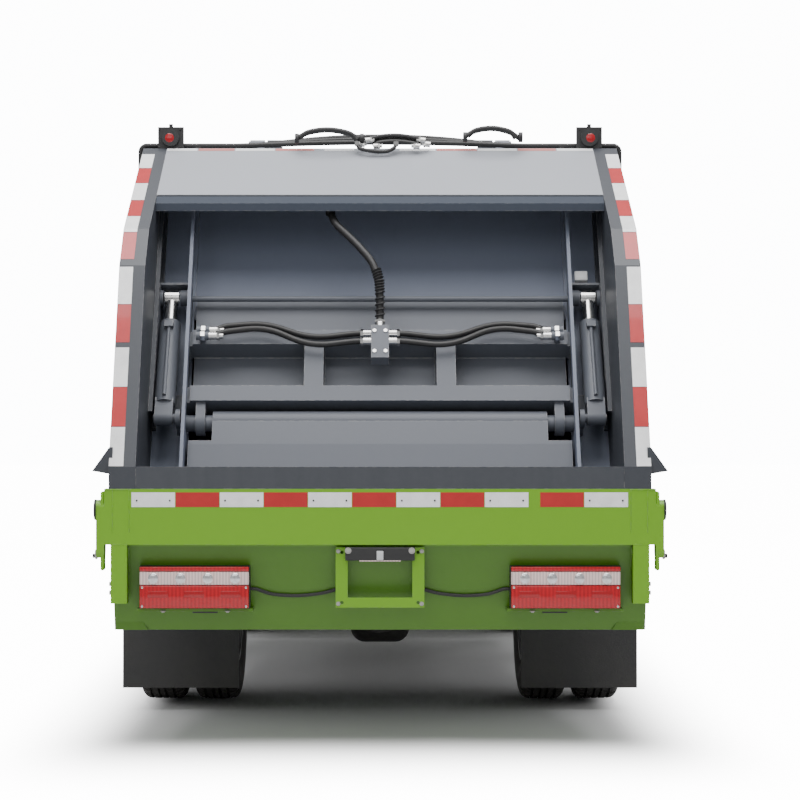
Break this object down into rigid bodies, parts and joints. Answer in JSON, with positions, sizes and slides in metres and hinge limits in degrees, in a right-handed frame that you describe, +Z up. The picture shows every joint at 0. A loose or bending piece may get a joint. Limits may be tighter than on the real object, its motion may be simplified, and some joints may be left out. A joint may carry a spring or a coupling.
{
  "type": "rear-loading garbage truck",
  "caption": "Rear-loading refuse truck with tilting cab, fixed container, lifting tailgate, sliding packer carriage and hinged scraper.",
  "frame": {"origin": "on the floor under the middle of the vehicle's bounding box", "axes": "+X to the vehicle's right, +Y forward, +Z up"},
  "size_m": [2.12, 5.3, 2.286],
  "materials": {
    "green_paint": "lime green paint, semi gloss",
    "body_paint": "dark blue-grey paint",
    "panel_paint": "light grey panel",
    "chassis_paint": "black chassis paint",
    "packer_paint": "worn grey paint",
    "chrome_rod": "polished rod",
    "hose_rubber": "black hose",
    "flap_rubber": "black rubber",
    "tyre": "road worn rubber",
    "rim_paint": "silver wheel paint",
    "engine_iron": "cast iron",
    "exhaust_steel": "heat-stained steel",
    "tank_metal": "aluminium",
    "black_plastic": "black plastic",
    "seat_fabric": "dark cloth",
    "window_glass": "clear glass",
    "lamp_lens": "red lens",
    "head_lens": "clear lens"
  },
  "bodies": {
    "chassis": {"chassis_frame": "chassis_paint", "powertrain": "engine_iron", "exhaust": "exhaust_steel", "front_axle": "chassis_paint", "rear_axle": "chassis_paint", "fuel_tank": "tank_metal", "oil_tank": "chassis_paint", "front_bumper": "black_plastic", "rear_mudguards": "flap_rubber", "side_guards": "chassis_paint", "container_shell": "body_paint"},
    "cab": {"cab_floor": "green_paint", "cab_front": "green_paint", "cab_rear": "green_paint", "cab_roof": "green_paint", "cab_sides": "green_paint", "cab_glass": "window_glass", "dashboard": "black_plastic", "seats": "seat_fabric", "head_lamps": "head_lens", "grille": "black_plastic", "mirrors": "black_plastic"},
    "door_l": {"door_left": "green_paint", "door_glass_left": "window_glass"},
    "door_r": {"door_right": "green_paint", "door_glass_right": "window_glass"},
    "steer_l": {"knuckle_left": "chassis_paint"},
    "steer_r": {"knuckle_right": "chassis_paint"},
    "track_rod": {"tie_rod": "chassis_paint"},
    "wheel_fl": {"rim_front_left": "rim_paint", "tyre_front_left": "tyre"},
    "wheel_fr": {"rim_front_right": "rim_paint", "tyre_front_right": "tyre"},
    "wheel_rl": {"rim_rear_left": "rim_paint", "tyre_rear_left": "tyre"},
    "wheel_rr": {"rim_rear_right": "rim_paint", "tyre_rear_right": "tyre"},
    "tailgate": {"tailgate_sides": "body_paint", "tailgate_roof": "panel_paint", "hopper_bowl": "body_paint", "hopper_front_wall": "body_paint", "rear_frame": "green_paint", "tail_lamps": "lamp_lens", "plate_lamp": "black_plastic", "marker_lamps": "lamp_lens", "pipework": "hose_rubber", "supply_hose": "hose_rubber"},
    "packer": {"carriage": "packer_paint", "carriage_hoses": "hose_rubber", "hose_fittings": "chrome_rod"},
    "blade": {"scraper": "packer_paint"},
    "ram_tube_l": {"ram_barrel_left": "packer_paint"},
    "ram_tube_r": {"ram_barrel_right": "packer_paint"},
    "ram_stem_l": {"ram_rod_left": "chrome_rod"},
    "ram_stem_r": {"ram_rod_right": "chrome_rod"},
    "lift_tube_l": {"lift_barrel_left": "packer_paint"},
    "lift_tube_r": {"lift_barrel_right": "packer_paint"},
    "lift_stem_l": {"lift_rod_left": "chrome_rod"},
    "lift_stem_r": {"lift_rod_right": "chrome_rod"},
    "ejector": {"ejector_plate": "body_paint"}
  },
  "joints": [
    {"name": "steer_left", "type": "hinge", "parent": "chassis", "child": "steer_l", "pos_m": [-0.6, 1.62, 0.375], "axis": [0, 0, 1], "range_deg": [-35, 35]},
    {"name": "steer_right", "type": "hinge", "parent": "chassis", "child": "steer_r", "pos_m": [0.6, 1.62, 0.375], "axis": [0, 0, 1], "range_deg": [-35, 35]},
    {"name": "track_rod_pivot", "type": "hinge", "parent": "steer_l", "child": "track_rod", "pos_m": [-0.6, 1.445, 0.286], "axis": [0, 0, 1], "range_deg": [-35, 35]},
    {"name": "wheel_front_left", "type": "hinge", "parent": "steer_l", "child": "wheel_fl", "pos_m": [-0.73, 1.62, 0.375], "axis": [1, 0, 0], "continuous": true},
    {"name": "wheel_front_right", "type": "hinge", "parent": "steer_r", "child": "wheel_fr", "pos_m": [0.73, 1.62, 0.375], "axis": [1, 0, 0], "continuous": true},
    {"name": "wheel_rear_left", "type": "hinge", "parent": "chassis", "child": "wheel_rl", "pos_m": [-0.76, -1.18, 0.375], "axis": [1, 0, 0], "continuous": true},
    {"name": "wheel_rear_right", "type": "hinge", "parent": "chassis", "child": "wheel_rr", "pos_m": [0.76, -1.18, 0.375], "axis": [1, 0, 0], "continuous": true},
    {"name": "cab_tilt", "type": "hinge", "parent": "chassis", "child": "cab", "pos_m": [0, 2.505, 0.64], "axis": [-1, 0, 0], "range_deg": [0, 45]},
    {"name": "door_left_swing", "type": "hinge", "parent": "cab", "child": "door_l", "pos_m": [-0.889, 2.443, 1.3], "axis": [0, 0, -1], "range_deg": [0, 68]},
    {"name": "door_right_swing", "type": "hinge", "parent": "cab", "child": "door_r", "pos_m": [0.889, 2.443, 1.3], "axis": [0, 0, 1], "range_deg": [0, 68]},
    {"name": "tailgate_lift", "type": "hinge", "parent": "chassis", "child": "tailgate", "pos_m": [0, -1.15, 2.236], "axis": [-1, 0, 0], "range_deg": [0, 82]},
    {"name": "lift_ram_pivot_left", "type": "hinge", "parent": "chassis", "child": "lift_tube_l", "pos_m": [-0.894, -0.5, 1.2], "axis": [-1, 0, 0], "range_deg": [0, 11]},
    {"name": "lift_ram_slide_left", "type": "slide", "parent": "lift_tube_l", "child": "lift_stem_l", "axis": [0, -0.7557, 0.6549], "range_m": [0, 0.403]},
    {"name": "lift_ram_pivot_right", "type": "hinge", "parent": "chassis", "child": "lift_tube_r", "pos_m": [0.894, -0.5, 1.2], "axis": [-1, 0, 0], "range_deg": [0, 11]},
    {"name": "lift_ram_slide_right", "type": "slide", "parent": "lift_tube_r", "child": "lift_stem_r", "axis": [0, -0.7557, 0.6549], "range_m": [0, 0.403]},
    {"name": "carriage_slide", "type": "slide", "parent": "tailgate", "child": "packer", "axis": [0, 0.4848, 0.8746], "range_m": [0, 0.4], "deforming": ["supply_hose"]},
    {"name": "scraper_swing", "type": "hinge", "parent": "packer", "child": "blade", "pos_m": [0, -2.2, 1.12], "axis": [1, 0, 0], "range_deg": [-60, 65]},
    {"name": "ram_pivot_left", "type": "hinge", "parent": "blade", "child": "ram_tube_l", "pos_m": [-0.773, -2.26312, 1.1393], "axis": [1, 0, 0], "range_deg": [-64, 59]},
    {"name": "ram_slide_left", "type": "slide", "parent": "ram_tube_l", "child": "ram_stem_l", "axis": [0, 0.5842, 0.8116], "range_m": [-0.054, 0.058]},
    {"name": "ram_pivot_right", "type": "hinge", "parent": "blade", "child": "ram_tube_r", "pos_m": [0.773, -2.26312, 1.1393], "axis": [1, 0, 0], "range_deg": [-64, 59]},
    {"name": "ram_slide_right", "type": "slide", "parent": "ram_tube_r", "child": "ram_stem_r", "axis": [0, 0.5842, 0.8116], "range_m": [-0.054, 0.058]},
    {"name": "ejector_slide", "type": "slide", "parent": "chassis", "child": "ejector", "axis": [0, -1, 0], "range_m": [0, 1.68]}
  ],
  "couplings": [
    {"joint": "steer_right", "follows": "steer_left", "ratio": 1},
    {"joint": "track_rod_pivot", "follows": "steer_left", "ratio": -1},
    {"joint": "lift_ram_pivot_left", "follows": "tailgate_lift", "ratio": 0.1325},
    {"joint": "lift_ram_slide_left", "follows": "tailgate_lift", "m_per_rad": 0.28075},
    {"joint": "ram_pivot_left", "follows": "scraper_swing", "ratio": -0.965},
    {"joint": "ram_slide_left", "follows": "scraper_swing", "m_per_rad": 0.0502},
    {"joint": "lift_ram_pivot_right", "follows": "tailgate_lift", "ratio": 0.1325},
    {"joint": "lift_ram_slide_right", "follows": "tailgate_lift", "m_per_rad": 0.28075},
    {"joint": "ram_pivot_right", "follows": "scraper_swing", "ratio": -0.965},
    {"joint": "ram_slide_right", "follows": "scraper_swing", "m_per_rad": 0.0502}
  ]
}
